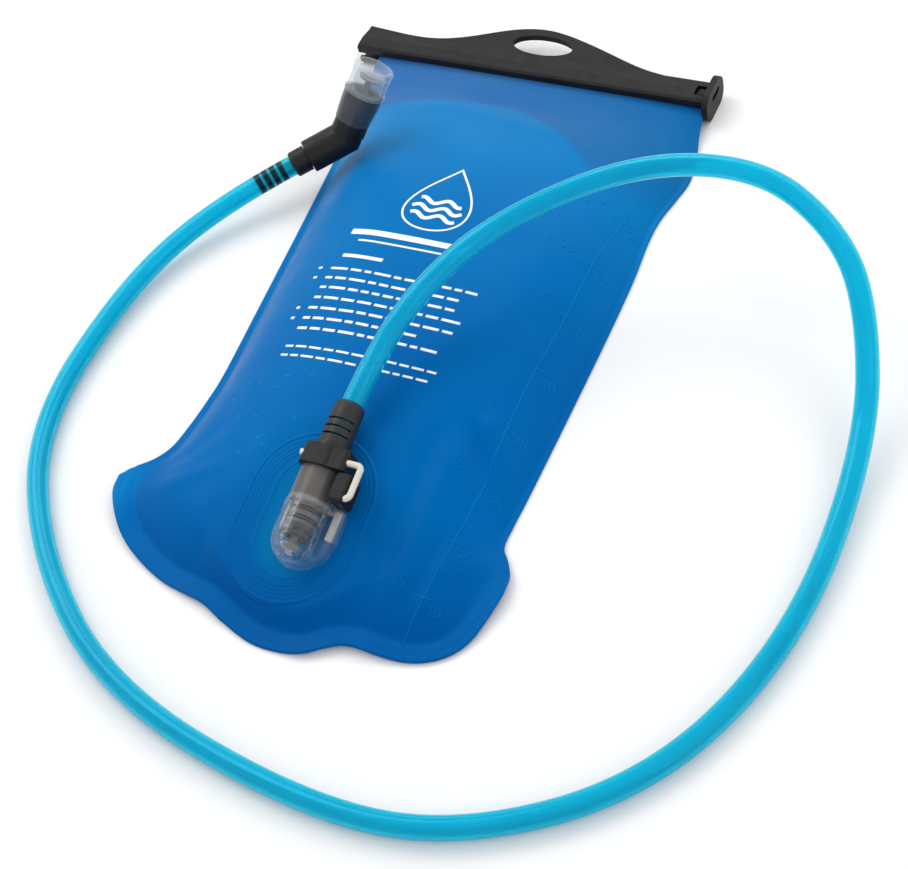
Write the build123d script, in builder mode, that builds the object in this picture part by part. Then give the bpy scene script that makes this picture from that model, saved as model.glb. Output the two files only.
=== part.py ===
from build123d import *
import os
from math import cos, pi, radians, sin, tan

os.makedirs("parts", exist_ok=True)

# Hydration bladder: a welded film bag lying on its back, a slide closure across its top edge, a
# quick-release port near its bottom edge, and a drink hose that ends in an elbowed bite valve.
# Frame: +X across the bag, +Y from the port towards the closure, +Z up, origin under the middle
# of the bag and closure on the surface that they lie on. Millimetres.

# ---- driving dimensions -------------------------------------------------------------------------
FILM = 0.8  # bag film
WELD_GAP = 0.02  # between the two films along the weld

# Bag: one row per cross-section, from the bottom weld to the closure:
# y, left edge, right edge, underside of the back film, top of the front film
BAG_SECTIONS = [
    (-174.0, -20.0, 60.0, 0.0, 2.4),
    (-165.0, -50.0, 80.0, 0.0, 4.2),
    (-155.0, -66.0, 88.0, 0.0, 6.6),
    (-142.0, -77.0, 94.0, 0.0, 9.4),
    (-127.0, -82.0, 96.0, 0.0, 12.6),
    (-110.0, -77.0, 91.0, 0.0, 16.4),
    (-92.0, -71.0, 87.5, 0.0, 20.2),
    (-60.0, -68.5, 87.0, 0.0, 25.0),
    (-20.0, -72.0, 87.0, 0.0, 27.0),
    (30.0, -75.5, 86.5, 0.0, 25.0),
    (70.0, -79.0, 87.0, 0.0, 20.5),
    (105.0, -82.5, 86.5, 0.0, 15.0),
    (128.0, -85.0, 84.0, 1.0, 10.0),
    (136.0, -85.6, 82.4, 2.8, 8.2),
    (142.5, -86.0, 82.3, 4.6, 7.0),
]
# shape of a cross-section: share of the width, share of the height
CROWN = [(0.0, 0.0), (0.07, 0.42), (0.24, 0.88), (0.5, 1.0), (0.76, 0.88), (0.93, 0.42), (1.0, 0.0)]

# Slide closure
CLOSURE_LEFT = -97.0
CLOSURE_RIGHT = 83.0
CLOSURE_FRONT = 143.0
CLOSURE_DEPTH = 14.0
CLOSURE_HEIGHT = 11.6
CLOSURE_WALL = 1.7
SLOT_LOW = 4.2
SLOT_HIGH = 7.4
HANDLE_LOW = 7.2
HANDLE_THICK = 3.0
HANG_X = -6.0
HANG_Y = 164.0
HANG_LONG = 15.5  # half the hang hole's length
HANG_SHORT = 6.5  # half its width
STOP_THICK = 3.0
WINDOW_LONG = 5.0
WINDOW_WIDE = 6.5

# Port: its axis leans up towards the closure
PORT_TILT = 12.0
PORT_AXIS_AT_COLLAR = (13.0, -107.0, 27.0)
AXIS_HEIGHT = 9.0  # of the port's axis over its flange
FLANGE_LONG = 76.0
FLANGE_WIDE = 56.0
FLANGE_THICK = 1.6
FLANGE_CENTRE = -17.0  # along the axis from the collar
FLANGE_SHIFT = 5.5  # of the flange's middle line to the left of the port's axis
TUNNEL_R = 8.7
BORE_R = 6.6
BORE_DEEP = 29.8  # to the centre of the round end
PLUG_R = 6.4
WATERWAY_R = 2.0
COLLAR_LONG = 9.0
PIN_R = 1.35
PIN_HEIGHT = 7.85
PIN_ALONG = 4.0
LATCH_TRAVEL = 1.5

# Hose
HOSE_R = 4.75
HOSE_BORE_R = 3.2
HOSE_AT = 12.4  # where the hose begins along the port's axis
BARB_R = 3.1
RIDGE_R = 3.6
UPPER_RING = (-100.2, 42.1, 14.0)  # first ridge of the upper barb
BARREL_RUN = (0.693, 0.708, 0.139)  # direction of the upper barb
UPPER_BARB_LONG = 19.0  # of hose on the upper barb
FLOOR_LIFT = 4.8  # hose axis where the hose lies on the floor

# Bite valve
ELBOW_FROM_RING = 46.6
MOUTH_RUN = (0.37, 0.51, 0.775)  # direction of the mouthpiece
ELBOW_R = 7.85
NECK_R = 7.0

# ---- directions and planes ----------------------------------------------------------------------
PORT_AXIS = Vector(0, cos(radians(PORT_TILT)), sin(radians(PORT_TILT)))
PORT_UP = Vector(0, -sin(radians(PORT_TILT)), cos(radians(PORT_TILT)))
COLLAR = Vector(*PORT_AXIS_AT_COLLAR)
BARREL = Vector(*BARREL_RUN).normalized()
MOUTH = Vector(*MOUTH_RUN).normalized()
RING = Vector(*UPPER_RING)
ELBOW = RING + BARREL * ELBOW_FROM_RING


def along(origin, direction, side):
    """A plane whose x runs along an axis; a profile in it is (distance along, radius)."""
    return Plane(origin=origin, x_dir=direction, z_dir=side)


PORT_PROFILE = along(COLLAR, PORT_AXIS, Vector(1, 0, 0))
BARREL_PROFILE = along(RING, BARREL, BARREL.cross(MOUTH))
MOUTH_PROFILE = along(ELBOW, MOUTH, BARREL.cross(MOUTH))
# seen from above the port: x across the bag, y along the port's axis
PORT_TOP = Plane(origin=COLLAR, x_dir=(1, 0, 0), z_dir=PORT_UP)
FLANGE_TOP = Plane(
    origin=COLLAR - PORT_UP * AXIS_HEIGHT + PORT_AXIS * FLANGE_CENTRE - Vector(FLANGE_SHIFT, 0, 0),
    x_dir=PORT_AXIS,
    z_dir=PORT_UP,
)


def turned(profile, plane, arc=360.0):
    """A closed profile of (along, radius) points turned about its plane's x axis."""
    with BuildPart() as body:
        with BuildSketch(plane):
            with BuildLine():
                Polyline(*profile, close=True)
            make_face()
        revolve(axis=Axis(plane.origin, plane.x_dir), revolution_arc=arc)
    return body.part


def save(piece, name):
    piece.part.label = name
    export_step(piece.part, f"parts/{name}.step")


# ---- bag ----------------------------------------------------------------------------------------
def front_section(y, left, right, under, top):
    """The front film cut across at y: an arched strip of even height."""
    foot = under + FILM + WELD_GAP
    rise = max(top - FILM - foot, 0.2)
    lower = [(left + s * (right - left), foot + h * rise) for s, h in CROWN]
    upper = [(x, z + FILM) for x, z in lower]
    with BuildSketch(Plane.XZ.offset(-y)) as section:
        with BuildLine():
            Spline(*lower)
            Spline(*upper)
            Line(lower[0], upper[0])
            Line(lower[-1], upper[-1])
        make_face()
    return section.sketch


with BuildPart() as front_panel:
    for row in BAG_SECTIONS:
        add(front_section(*row))
    loft(ruled=True)
    with BuildSketch(FLANGE_TOP.offset(-12)):
        SlotOverall(FLANGE_LONG, FLANGE_WIDE)
    extrude(amount=24, mode=Mode.SUBTRACT)

with BuildPart() as back_panel:
    flat_rows = [row for row in BAG_SECTIONS if row[3] == 0.0]
    with BuildSketch():
        with BuildLine():
            outline = [(row[1], row[0]) for row in flat_rows]
            outline += [(row[2], row[0]) for row in reversed(flat_rows)]
            Polyline(*outline, close=True)
        make_face()
    extrude(amount=FILM)

with BuildPart() as back_ramp:
    for row in [row for row in BAG_SECTIONS if row[0] >= flat_rows[-1][0]]:
        y, left, right, under, top = row
        with BuildSketch(Plane.XZ.offset(-y)):
            with Locations(((left + right) / 2, under + FILM / 2)):
                Rectangle(right - left, FILM)
    loft(ruled=True)

with BuildPart() as back_film:
    add(back_panel.part)
    add(back_ramp.part)

MOUTH_FRONT = BAG_SECTIONS[-1][0]
MOUTH_LEFT = BAG_SECTIONS[-1][1]
MOUTH_RIGHT = BAG_SECTIONS[-1][2]
BEAD_RIGHT = 76.0
BEAD_GAP = 0.4  # round the folded edge inside the closure

with BuildPart() as folded_mouth:
    neck_low = BAG_SECTIONS[-1][3]
    neck_high = BAG_SECTIONS[-1][4]
    bead_front = CLOSURE_FRONT + CLOSURE_WALL + BEAD_GAP
    bead_back = CLOSURE_FRONT + CLOSURE_DEPTH - CLOSURE_WALL - BEAD_GAP
    with BuildSketch(Plane.YZ.offset(MOUTH_LEFT)):
        with Locations(((bead_front + bead_back) / 2, (SLOT_LOW + SLOT_HIGH) / 2)):
            RectangleRounded(bead_back - bead_front, 7.2, 3.0)
    extrude(amount=BEAD_RIGHT - MOUTH_LEFT)
    with BuildSketch(Plane.YZ.offset(MOUTH_LEFT)):
        with Locations(((MOUTH_FRONT + bead_front + 1) / 2, (neck_low + neck_high) / 2)):
            Rectangle(bead_front + 1 - MOUTH_FRONT, neck_high - neck_low)
    extrude(amount=BEAD_RIGHT - MOUTH_LEFT)

# ---- slide closure ------------------------------------------------------------------------------
BACK = CLOSURE_FRONT + CLOSURE_DEPTH

with BuildPart() as closure_channel:
    with BuildSketch(Plane.YZ.offset(CLOSURE_LEFT)):
        with BuildLine():
            Polyline(
                (CLOSURE_FRONT, CLOSURE_HEIGHT - 1.0),
                (CLOSURE_FRONT, 1.6),
                (CLOSURE_FRONT + 1.6, 0.0),
                (BACK - 1.6, 0.0),
                (BACK, 1.6),
                (BACK, CLOSURE_HEIGHT - 1.4),
                (CLOSURE_FRONT + CLOSURE_DEPTH / 2, CLOSURE_HEIGHT),
                (CLOSURE_FRONT + 1.2, CLOSURE_HEIGHT - 0.2),
                close=True,
            )
        make_face()
        with Locations((CLOSURE_FRONT + CLOSURE_DEPTH / 2, (SLOT_LOW + SLOT_HIGH) / 2)):
            Rectangle(
                CLOSURE_DEPTH - 2 * CLOSURE_WALL, 8.0, mode=Mode.SUBTRACT
            )
        with Locations((CLOSURE_FRONT, (SLOT_LOW + SLOT_HIGH) / 2)):
            Rectangle(2 * CLOSURE_WALL + 1, SLOT_HIGH - SLOT_LOW, mode=Mode.SUBTRACT)
    extrude(amount=CLOSURE_RIGHT - CLOSURE_LEFT)
    # hang handle: a flat web behind the channel
    with BuildSketch(Plane.XY.offset(HANDLE_LOW)):
        with BuildLine():
            Line((CLOSURE_LEFT, BACK - 0.6), (CLOSURE_LEFT, BACK + 2.4))
            Spline(
                (CLOSURE_LEFT, BACK + 2.4),
                (-81.0, BACK + 0.9),
                (-60.0, BACK + 1.0),
                (-40.0, BACK + 7.6),
                (-26.0, BACK + 14.0),
                (HANG_X - 2.0, HANG_Y + HANG_SHORT + 4.3),
                (10.0, BACK + 14.6),
                (28.0, BACK + 8.6),
                (46.0, BACK + 2.4),
                (58.0, BACK + 0.2),
            )
            Line((58.0, BACK + 0.2), (58.0, BACK - 0.6))
            Line((58.0, BACK - 0.6), (CLOSURE_LEFT, BACK - 0.6))
        make_face()
    extrude(amount=HANDLE_THICK)
    with BuildSketch(Plane.XY.offset(HANDLE_LOW - 1)):
        with Locations((HANG_X, HANG_Y)):
            Ellipse(HANG_LONG, HANG_SHORT)
    extrude(amount=HANDLE_THICK + 2, mode=Mode.SUBTRACT)
    # snap window over the end stop's tongue
    with BuildSketch(Plane.XY.offset(CLOSURE_HEIGHT - 3)):
        with Locations((CLOSURE_RIGHT - 1.2 - WINDOW_LONG / 2, CLOSURE_FRONT + CLOSURE_DEPTH / 2)):
            RectangleRounded(WINDOW_LONG, WINDOW_WIDE, 0.8)
    extrude(amount=4, mode=Mode.SUBTRACT)

with BuildPart() as end_stop:
    with BuildSketch(Plane.YZ.offset(CLOSURE_RIGHT)):
        with Locations((CLOSURE_FRONT + CLOSURE_DEPTH / 2, 7.4)):
            RectangleRounded(22.0, 14.8, 6.0)
        with Locations((CLOSURE_FRONT + CLOSURE_DEPTH / 2 + 1, 9.6)):
            SlotOverall(9.0, 3.0, mode=Mode.SUBTRACT)
    extrude(amount=STOP_THICK)
    with BuildSketch(Plane.YZ.offset(CLOSURE_RIGHT)):
        with Locations((CLOSURE_FRONT + CLOSURE_DEPTH / 2, (SLOT_LOW + SLOT_HIGH) / 2)):
            Rectangle(9.6, 7.0)
    extrude(amount=-6.0)
    with BuildSketch(Plane.XY.offset(SLOT_HIGH)):
        with Locations((CLOSURE_RIGHT - 3.2, CLOSURE_FRONT + CLOSURE_DEPTH / 2)):
            Rectangle(2.4, 3.6)
    extrude(amount=3.0)

# ---- port: flange, clear body, collar, lock fork, check valve ------------------------------------
INLET_ALONG = -32.5

with BuildPart() as port_flange:
    with BuildSketch(FLANGE_TOP):
        SlotOverall(FLANGE_LONG, FLANGE_WIDE)
    extrude(amount=-FLANGE_THICK)
    # weld rings
    for inset in (3.0, 6.0):
        with BuildSketch(FLANGE_TOP):
            SlotOverall(FLANGE_LONG - 2 * inset, FLANGE_WIDE - 2 * inset)
            SlotOverall(
                FLANGE_LONG - 2 * inset - 1.6, FLANGE_WIDE - 2 * inset - 1.6, mode=Mode.SUBTRACT
            )
        extrude(amount=0.4)
    # water inlet under the check valve
    with BuildSketch(FLANGE_TOP):
        with Locations((INLET_ALONG - FLANGE_CENTRE, -FLANGE_SHIFT)):
            SlotOverall(7.0, 4.0)
    extrude(amount=-FLANGE_THICK, mode=Mode.SUBTRACT)

BLISTER_HIGH = 4.3
BLISTER_WIDE = 27.6
BLISTER_LONG = 37.5
BLISTER_CENTRE = -20.25
BLISTER_WALL = 1.4
FORK_SIDE = 10.4  # of each leg's middle from the port's axis
FORK_LEG = (12.5, 2.4)
FORK_CENTRE = 2.0  # along the axis from the middle of the blister
FORK_LIFT = 0.5  # over the flange's top
FORK_BRIDGE = 0.8  # thickness of the bridge between the legs
BLISTER_BASE = Plane(
    origin=COLLAR - PORT_UP * AXIS_HEIGHT + PORT_AXIS * BLISTER_CENTRE,
    x_dir=PORT_AXIS,
    z_dir=PORT_UP,
)

with BuildPart() as port_body:
    with BuildSketch(BLISTER_BASE):
        SlotOverall(BLISTER_LONG, BLISTER_WIDE)
    extrude(amount=BLISTER_HIGH)
    long_edges = port_body.edges().group_by(SortBy.LENGTH)[-1]
    fillet(long_edges.sort_by(Axis(BLISTER_BASE.origin, PORT_UP))[-1:], 1.2)
    with BuildSketch(BLISTER_BASE):
        SlotOverall(BLISTER_LONG - 2 * BLISTER_WALL, BLISTER_WIDE - 2 * BLISTER_WALL)
    extrude(amount=BLISTER_HIGH - BLISTER_WALL, mode=Mode.SUBTRACT)
    tunnel = [
        (-BORE_DEEP, 0.0),
        (-BORE_DEEP, TUNNEL_R),
        (0.0, TUNNEL_R),
        (0.0, 0.0),
    ]
    add(turned(tunnel, PORT_PROFILE))
    with Locations(Plane(COLLAR - PORT_AXIS * BORE_DEEP)):
        Sphere(TUNNEL_R)
    bore = [(-BORE_DEEP, 0.0), (-BORE_DEEP, BORE_R), (0.0, BORE_R), (0.0, 0.0)]
    add(turned(bore, PORT_PROFILE), mode=Mode.SUBTRACT)
    with Locations(Plane(COLLAR - PORT_AXIS * BORE_DEEP)):
        Sphere(BORE_R, mode=Mode.SUBTRACT)
    with BuildSketch(FLANGE_TOP):
        with Locations((INLET_ALONG - FLANGE_CENTRE, -FLANGE_SHIFT)):
            SlotOverall(7.0, 4.0)
    extrude(amount=AXIS_HEIGHT - 3, mode=Mode.SUBTRACT)
    # groove under the tunnel for the lock fork's bridge
    with BuildSketch(BLISTER_BASE):
        with Locations((FORK_CENTRE + FORK_LEG[0] / 2 - 0.8, 0)):
            Rectangle(2.0, 2 * FORK_SIDE)
    extrude(amount=FORK_LIFT + FORK_BRIDGE + 0.2, mode=Mode.SUBTRACT)

LUG_RIGHT = 13.0
COLLAR_WIDE = 17.0
COLLAR_LOW = -8.4
COLLAR_HIGH = 10.6

with BuildPart() as port_collar:
    # drawn looking along the port's axis: x across the bag, y up from the axis
    with BuildSketch(Plane(origin=COLLAR, x_dir=(-1, 0, 0), z_dir=PORT_AXIS)):
        with Locations((0, (COLLAR_LOW + COLLAR_HIGH) / 2)):
            RectangleRounded(COLLAR_WIDE, COLLAR_HIGH - COLLAR_LOW, 5.0)
        with Locations((-LUG_RIGHT / 2 - 2, 3.7)):
            RectangleRounded(LUG_RIGHT - 4, 13.0, 2.0)
        Circle(BORE_R + 0.1, mode=Mode.SUBTRACT)
    extrude(amount=COLLAR_LONG)
    chamfer(port_collar.faces().sort_by(Axis(COLLAR, PORT_AXIS))[-1].outer_wire().edges(), 0.8)
    pin_middle = COLLAR + PORT_UP * PIN_HEIGHT + PORT_AXIS * PIN_ALONG
    with BuildSketch(Plane(origin=pin_middle, x_dir=PORT_AXIS, z_dir=(1, 0, 0))):
        Circle(PIN_R + 0.2)
    extrude(amount=30, both=True, mode=Mode.SUBTRACT)

with BuildPart() as lock_fork:
    with BuildSketch(BLISTER_BASE.offset(FORK_LIFT)):
        with Locations((FORK_CENTRE, -FORK_SIDE), (FORK_CENTRE, FORK_SIDE)):
            Rectangle(*FORK_LEG)
    extrude(amount=2.2)
    with BuildSketch(BLISTER_BASE.offset(FORK_LIFT)):
        with Locations((FORK_CENTRE + FORK_LEG[0] / 2 - 0.8, 0)):
            Rectangle(1.6, 2 * FORK_SIDE)
    extrude(amount=FORK_BRIDGE)

SEAT_AT = -27.0
SEAT_THICK = 1.6
SEAT_BORE_R = 3.4
POPPET_STROKE = 3.0

with BuildPart() as port_seat:
    ring = [
        (SEAT_AT - SEAT_THICK, SEAT_BORE_R),
        (SEAT_AT - SEAT_THICK, BORE_R),
        (SEAT_AT, BORE_R),
        (SEAT_AT, SEAT_BORE_R),
    ]
    add(turned(ring, PORT_PROFILE))

HEAD_TOP = SEAT_AT - SEAT_THICK - POPPET_STROKE - 0.15

with BuildPart() as port_poppet:
    mushroom = [
        (HEAD_TOP - 2.4, 0.0),
        (HEAD_TOP - 2.4, 2.6),
        (HEAD_TOP - 1.4, 4.2),
        (HEAD_TOP - 0.5, 4.2),
        (HEAD_TOP, 3.6),
        (HEAD_TOP + 0.6, 1.5),
        (SEAT_AT + 2.4, 1.5),
        (SEAT_AT + 2.8, 1.1),
        (SEAT_AT + 2.8, 0.0),
    ]
    add(turned(mushroom, PORT_PROFILE))

SPRING_TURNS = 2.0
SPRING_R = 1.9
SPRING_WIRE_R = 0.25
SPRING_START = -36.0

with BuildPart() as valve_spring:
    with BuildLine() as spring_line:
        Helix(
            pitch=(HEAD_TOP - 2.4 - SPRING_START - 2 * SPRING_WIRE_R - 0.1) / SPRING_TURNS,
            height=HEAD_TOP - 2.4 - SPRING_START - 2 * SPRING_WIRE_R - 0.1,
            radius=SPRING_R,
            center=COLLAR + PORT_AXIS * (SPRING_START + SPRING_WIRE_R),
            direction=PORT_AXIS,
        )
    with BuildSketch(Plane(origin=spring_line.line @ 0, z_dir=spring_line.line % 0)):
        Circle(SPRING_WIRE_R)
    sweep(path=spring_line.line)

# ---- latch: release button and U clip ------------------------------------------------------------
BUTTON_LEFT = 10.5
BUTTON_RIGHT = 17.4
BUTTON_LOW = -1.6
BUTTON_HIGH = 9.6
BUTTON_START = -12.6
BUTTON_END = -0.5
BAR_X = 19.0
BAR_END = -10.4

PIN_PLANE = PORT_TOP.offset(PIN_HEIGHT)

with BuildPart() as latch_clip:
    with BuildLine() as clip_line:
        clip_points = [
            PIN_PLANE.from_local_coords(Vector(-COLLAR_WIDE / 2 + 0.1, PIN_ALONG, 0)),
            PIN_PLANE.from_local_coords(Vector(BAR_X, PIN_ALONG, 0)),
            PIN_PLANE.from_local_coords(Vector(BAR_X, BAR_END, 0)),
            PIN_PLANE.from_local_coords(Vector(BAR_X - 4.4, BAR_END, 0)),
        ]
        FilletPolyline(*clip_points, radius=2.0)
    with BuildSketch(Plane(origin=clip_points[0], z_dir=(1, 0, 0))):
        Circle(PIN_R)
    sweep(path=clip_line.line)

with BuildPart() as release_button:
    with BuildSketch(PORT_TOP.offset(BUTTON_LOW)):
        with Locations(((BUTTON_LEFT + BUTTON_RIGHT) / 2, (BUTTON_START + BUTTON_END) / 2)):
            RectangleRounded(BUTTON_RIGHT - BUTTON_LEFT, BUTTON_END - BUTTON_START, 1.6)
    extrude(amount=BUTTON_HIGH - BUTTON_LOW)
    fillet(release_button.faces().sort_by(Axis(COLLAR, PORT_UP))[-1].edges(), 1.2)
    add(latch_clip.part, mode=Mode.SUBTRACT)

# ---- plug, O-rings, bend relief ------------------------------------------------------------------
ORING_ALONG = (-17.5, -21.5)
ORING_WIRE_R = 0.9
GROOVE_R = PLUG_R - 1.7
RELIEF_LONG = 18.6
RELIEF_R = 6.6


def grooves(places):
    """Outline points of the O-ring grooves, in order along the plug."""
    points = []
    for place in sorted(places):
        points.append((place - 1.0, PLUG_R))
        points.append((place - 1.0, GROOVE_R))
        points.append((place + 1.0, GROOVE_R))
        points.append((place + 1.0, PLUG_R))
    return points


def barb(start, step, count, run):
    """Outline points of a hose barb: count ridges that lean back against the hose's pull."""
    points = []
    for index in range(count):
        place = start + index * step * run
        points.append((place, BARB_R))
        points.append((place + 0.4 * run, RIDGE_R))
        points.append((place + 2.6 * run, BARB_R))
    return points


with BuildPart() as hose_plug:
    plug_outline = [(-26.6, WATERWAY_R + 0.4), (-26.6, 3.1), (-23.6, PLUG_R)]
    plug_outline += grooves(ORING_ALONG)
    plug_outline += [
        (-12.5, PLUG_R),
        (-12.0, PLUG_R - 0.9),
        (-8.0, PLUG_R - 0.9),
        (-7.5, PLUG_R),
        (COLLAR_LONG + 0.4, PLUG_R),
        (COLLAR_LONG + 0.4, 8.3),
        (COLLAR_LONG + 1.8, 8.3),
        (COLLAR_LONG + 1.8, 7.2),
        (HOSE_AT, 7.2),
        (HOSE_AT, BARB_R),
    ]
    plug_outline += barb(HOSE_AT + 2.0, 4.0, 4, 1)
    plug_outline += [(HOSE_AT + 18.5, BARB_R), (HOSE_AT + 18.5, WATERWAY_R)]
    plug_outline += [(-25.0, WATERWAY_R), (-25.0, WATERWAY_R + 0.4)]
    add(turned(plug_outline, PORT_PROFILE))


def oring(place):
    with BuildPart() as ring:
        with BuildSketch(PORT_PROFILE):
            with Locations((place, PLUG_R - ORING_WIRE_R + 0.15)):
                Ellipse(0.85, ORING_WIRE_R)
        revolve(axis=Axis(COLLAR, PORT_AXIS))
    return ring


plug_oring_rear = oring(ORING_ALONG[0])
plug_oring_front = oring(ORING_ALONG[1])

with BuildPart() as hose_relief:
    relief = [
        (HOSE_AT + 0.1, HOSE_R + 0.1),
        (HOSE_AT + 0.1, RELIEF_R),
        (HOSE_AT + RELIEF_LONG - 1.5, RELIEF_R - 0.2),
        (HOSE_AT + RELIEF_LONG, RELIEF_R - 1.1),
        (HOSE_AT + RELIEF_LONG, HOSE_R + 0.1),
    ]
    add(turned(relief, PORT_PROFILE))
    # narrow slits between the ribs, open above and below, joined by webs at the sides
    for slit in (3.0, 6.4, 9.8):
        for side in (-1, 1):
            with BuildSketch(PORT_TOP.offset(side * 2.4)):
                with Locations((0, HOSE_AT + slit)):
                    Rectangle(2 * RELIEF_R, 0.9)
            extrude(amount=side * RELIEF_R, mode=Mode.SUBTRACT)

# ---- drink hose ----------------------------------------------------------------------------------
HOSE_START = COLLAR + PORT_AXIS * HOSE_AT
HOSE_END = RING + BARREL * UPPER_BARB_LONG

HOSE_ROUTE = [
    tuple(HOSE_START),
    tuple(HOSE_START + PORT_AXIS * 34.0),
    (24.0, -27.0, 52.0),
    (45.0, 10.0, 60.0),
    (90.0, 53.0, 62.0),
    (139.0, 66.0, 58.0),
    (175.0, 49.0, 49.0),
    (195.0, 24.0, 38.0),
    (208.0, -19.0, 8.5),
    (209.0, -109.0, FLOOR_LIFT),
    (180.0, -183.0, FLOOR_LIFT),
    (119.0, -226.0, FLOOR_LIFT),
    (57.0, -232.0, FLOOR_LIFT),
    (-36.0, -213.0, FLOOR_LIFT),
    (-97.0, -167.0, FLOOR_LIFT),
    (-137.0, -107.0, FLOOR_LIFT),
    (-136.0, -24.0, 6.5),
    tuple(HOSE_END - BARREL * 40.0),
    tuple(HOSE_END),
]


def bend_radii(route):
    """Each bend takes 0.45 of its shorter run, so the arcs are as large as the runs allow."""
    radii = []
    points = [Vector(*point) for point in route]
    for before, corner, after in zip(points, points[1:], points[2:]):
        run_in = corner - before
        run_out = after - corner
        half_turn = radians(run_in.get_angle(run_out)) / 2
        radii.append(0.45 * min(run_in.length, run_out.length) / tan(half_turn))
    return radii


HOSE_RADII = bend_radii(HOSE_ROUTE)

with BuildPart() as drink_hose:
    with BuildLine() as hose_line:
        FilletPolyline(*HOSE_ROUTE, radius=HOSE_RADII)
    with BuildSketch(Plane(origin=HOSE_START, z_dir=PORT_AXIS)):
        Circle(HOSE_R)
        Circle(HOSE_BORE_R, mode=Mode.SUBTRACT)
    sweep(path=hose_line.line)

# ---- upper barb and bite valve -------------------------------------------------------------------
SHOULDER = UPPER_BARB_LONG + 0.1
JOURNAL = 27.0
JOURNAL_END = 36.5
JOURNAL_R = 4.7

with BuildPart() as upper_barb:
    outline = [(0.0, WATERWAY_R)]
    outline += [(0.0, BARB_R)]
    for ridge in (0.6, 4.6, 8.6, 12.6):
        outline += [(ridge, BARB_R), (ridge + 2.2, RIDGE_R), (ridge + 2.6, BARB_R)]
    outline += [
        (SHOULDER, BARB_R),
        (SHOULDER, 5.4),
        (SHOULDER + 0.8, 6.1),
        (JOURNAL, 6.1),
        (JOURNAL, JOURNAL_R),
        (31.0, JOURNAL_R),
        (31.0, JOURNAL_R - 1.3),
        (33.0, JOURNAL_R - 1.3),
        (33.0, JOURNAL_R),
        (JOURNAL_END, JOURNAL_R),
        (JOURNAL_END, WATERWAY_R),
    ]
    add(turned(outline, BARREL_PROFILE))

with BuildPart() as swivel_oring:
    with BuildSketch(BARREL_PROFILE):
        with Locations((32.0, JOURNAL_R - 0.62)):
            Ellipse(0.85, 0.66)
    revolve(axis=Axis(RING, BARREL))

MITRE = Plane(origin=ELBOW, z_dir=(BARREL + MOUTH).normalized())

with BuildPart() as elbow_barrel:
    add(turned([(JOURNAL + 0.3, 0), (JOURNAL + 0.3, ELBOW_R - 0.5), (JOURNAL + 0.8, ELBOW_R),
                (ELBOW_FROM_RING + 8, ELBOW_R), (ELBOW_FROM_RING + 8, 0)], BARREL_PROFILE))
    split(bisect_by=MITRE, keep=Keep.BOTTOM)

SHEATH_START = 9.3
NECK_END = 24.4

with BuildPart() as elbow_neck:
    add(turned([(-8.0, 0), (-8.0, ELBOW_R), (SHEATH_START - 0.1, ELBOW_R - 0.15),
                (SHEATH_START - 0.1, NECK_R), (14.0, NECK_R + 0.3), (15.0, NECK_R + 0.8),
                (18.0, NECK_R + 0.9), (19.0, NECK_R + 0.5), (NECK_END, NECK_R + 0.7),
                (NECK_END, 0)], MOUTH_PROFILE))
    split(bisect_by=MITRE, keep=Keep.TOP)

# grip ribs round the outside of the bend
OUTWARD = (BARREL - MOUTH * BARREL.dot(MOUTH)).normalized()
RIB_ARC = 150.0
RIB_START = OUTWARD * cos(radians(RIB_ARC / 2)) - MOUTH.cross(OUTWARD) * sin(radians(RIB_ARC / 2))
RIB_PROFILE = along(ELBOW, MOUTH, MOUTH.cross(RIB_START))

with BuildPart() as swivel_elbow:
    add(elbow_barrel.part)
    add(elbow_neck.part)
    for place in (3.6, 5.4, 7.2):
        rib = [(place - 0.5, 6.0), (place - 0.5, ELBOW_R - 0.2), (place - 0.2, ELBOW_R + 0.4),
               (place + 0.2, ELBOW_R + 0.4), (place + 0.5, ELBOW_R - 0.2), (place + 0.5, 6.0)]
        add(turned(rib, RIB_PROFILE, RIB_ARC))
    # socket for the upper barb's journal, then the waterway round the corner
    add(turned([(20.0, 0), (20.0, JOURNAL_R + 0.06), (JOURNAL_END + 0.4, JOURNAL_R + 0.06),
                (JOURNAL_END + 0.4, 0)], BARREL_PROFILE), mode=Mode.SUBTRACT)
    add(turned([(20.0, 0), (20.0, 3.0), (ELBOW_FROM_RING, 3.0), (ELBOW_FROM_RING, 0)], BARREL_PROFILE),
        mode=Mode.SUBTRACT)
    add(turned([(0.0, 0), (0.0, 3.0), (19.0, 3.0), (19.0, 4.6), (30.0, 4.6), (30.0, 0)], MOUTH_PROFILE),
        mode=Mode.SUBTRACT)
    with Locations(Plane(ELBOW)):
        Sphere(3.0, mode=Mode.SUBTRACT)

with BuildPart() as valve_stem:
    add(turned([(20.0, 0), (20.0, 4.5), (21.2, 4.5), (21.2, 1.5), (30.0, 1.5), (31.0, 4.9),
                (32.0, 5.2), (32.0, 0)], MOUTH_PROFILE))
    # flow holes through the foot
    for turn in range(3):
        angle = 2 * pi * turn / 3
        spot = (MOUTH_PROFILE.y_dir * cos(angle) + MOUTH_PROFILE.z_dir * sin(angle)) * 3.0
        with BuildSketch(Plane(origin=ELBOW + MOUTH * 19.0 + spot, z_dir=MOUTH)):
            Circle(0.95)
        extrude(amount=3.0, mode=Mode.SUBTRACT)

MOUTH_TOP = 37.6

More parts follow.
